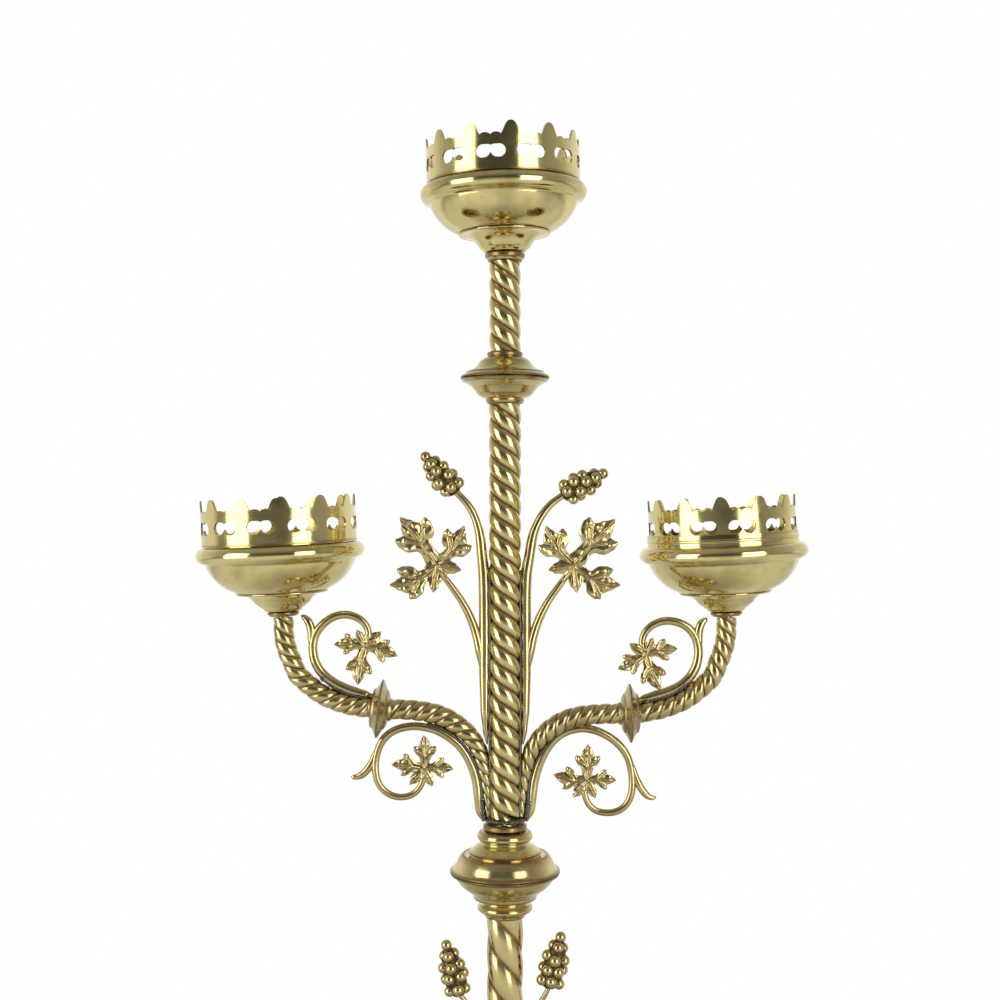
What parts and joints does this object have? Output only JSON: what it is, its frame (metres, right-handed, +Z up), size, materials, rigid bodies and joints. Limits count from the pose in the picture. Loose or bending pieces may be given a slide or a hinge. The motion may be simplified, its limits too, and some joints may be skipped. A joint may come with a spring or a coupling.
{
  "type": "tabletop candelabra",
  "caption": "Brass altar candelabra: a turned stem with twisted shafts carries scrolled arms, vine sprigs and pierced cups for candles.",
  "frame": {"origin": "on the stem's axis, at the level of the surface that the feet stand on", "axes": "+Z up the stem, +X towards the right arm, -Y towards the viewer"},
  "size_m": [0.3351, 0.176, 0.6557],
  "materials": {
    "polished_brass": "polished brass with darker colour in its grooves",
    "cast_brass": "cast brass, browner and less polished",
    "dull_brass": "dull turned brass"
  },
  "bodies": {
    "stand": {"base_foot_1": "polished_brass", "base_foot_2": "polished_brass", "base_foot_3": "polished_brass", "base_rim": "polished_brass", "base_dome": "polished_brass", "base_neck": "polished_brass", "base_washer": "dull_brass", "base_nut": "dull_brass", "tie_rod": "dull_brass", "lower_collar": "polished_brass", "lower_shaft": "polished_brass", "lower_knop_bottom": "polished_brass", "lower_knop_top": "polished_brass", "branch_collar": "polished_brass", "main_shaft": "polished_brass", "mid_knop_bottom": "polished_brass", "mid_knop_top": "polished_brass", "upper_shaft": "polished_brass", "top_cup_collar": "polished_brass", "left_inner_arm": "polished_brass", "left_arm_knop": "polished_brass", "left_outer_arm": "polished_brass", "left_cup_collar": "polished_brass", "left_lower_scroll": "cast_brass", "left_lower_scroll_leaf": "cast_brass", "left_upper_scroll": "cast_brass", "left_upper_scroll_leaf": "cast_brass", "left_vine_sprig": "cast_brass", "left_vine_leaf": "cast_brass", "left_grapes": "cast_brass", "left_lower_sprig": "cast_brass", "left_lower_leaf": "cast_brass", "left_lower_grapes": "cast_brass", "right_inner_arm": "polished_brass", "right_arm_knop": "polished_brass", "right_outer_arm": "polished_brass", "right_cup_collar": "polished_brass", "right_lower_scroll": "cast_brass", "right_lower_scroll_leaf": "cast_brass", "right_upper_scroll": "cast_brass", "right_upper_scroll_leaf": "cast_brass", "right_vine_sprig": "cast_brass", "right_vine_leaf": "cast_brass", "right_grapes": "cast_brass", "right_lower_sprig": "cast_brass", "right_lower_leaf": "cast_brass", "right_lower_grapes": "cast_brass"},
    "left_cup": {"left_crown": "polished_brass", "left_bowl": "polished_brass", "left_bell": "polished_brass"},
    "left_screw_socket": {"left_socket": "dull_brass"},
    "right_cup": {"right_crown": "polished_brass", "right_bowl": "polished_brass", "right_bell": "polished_brass"},
    "right_screw_socket": {"right_socket": "dull_brass"},
    "top_cup": {"top_crown": "polished_brass", "top_bowl": "polished_brass", "top_bell": "polished_brass"},
    "top_screw_socket": {"top_socket": "dull_brass"}
  },
  "joints": [
    {"name": "left_cup_lift", "type": "slide", "parent": "stand", "child": "left_cup", "axis": [-0.0488, 0, 0.9988], "range_m": [0, 0.01016]},
    {"name": "left_socket_turn", "type": "hinge", "parent": "left_cup", "child": "left_screw_socket", "pos_m": [-0.12259, 0, 0.41078], "axis": [-0.0488, 0, 0.9988], "range_deg": [0, 2885]},
    {"name": "right_cup_lift", "type": "slide", "parent": "stand", "child": "right_cup", "axis": [-0.0488, 0, 0.9988], "range_m": [0, 0.01016]},
    {"name": "right_socket_turn", "type": "hinge", "parent": "right_cup", "child": "right_screw_socket", "pos_m": [0.12081, 0, 0.41078], "axis": [-0.0488, 0, 0.9988], "range_deg": [0, 2885]},
    {"name": "top_cup_lift", "type": "slide", "parent": "stand", "child": "top_cup", "axis": [-0.0244, 0, 0.9997], "range_m": [0, 0.01016]},
    {"name": "top_socket_turn", "type": "hinge", "parent": "top_cup", "child": "top_screw_socket", "pos_m": [-0.00037, 0, 0.6074], "axis": [-0.0244, 0, 0.9997], "range_deg": [0, 2885]}
  ],
  "couplings": [
    {"joint": "left_socket_turn", "follows": "left_cup_lift", "rad_per_m": 4947.4},
    {"joint": "right_socket_turn", "follows": "right_cup_lift", "rad_per_m": 4947.4},
    {"joint": "top_socket_turn", "follows": "top_cup_lift", "rad_per_m": 4947.4}
  ]
}
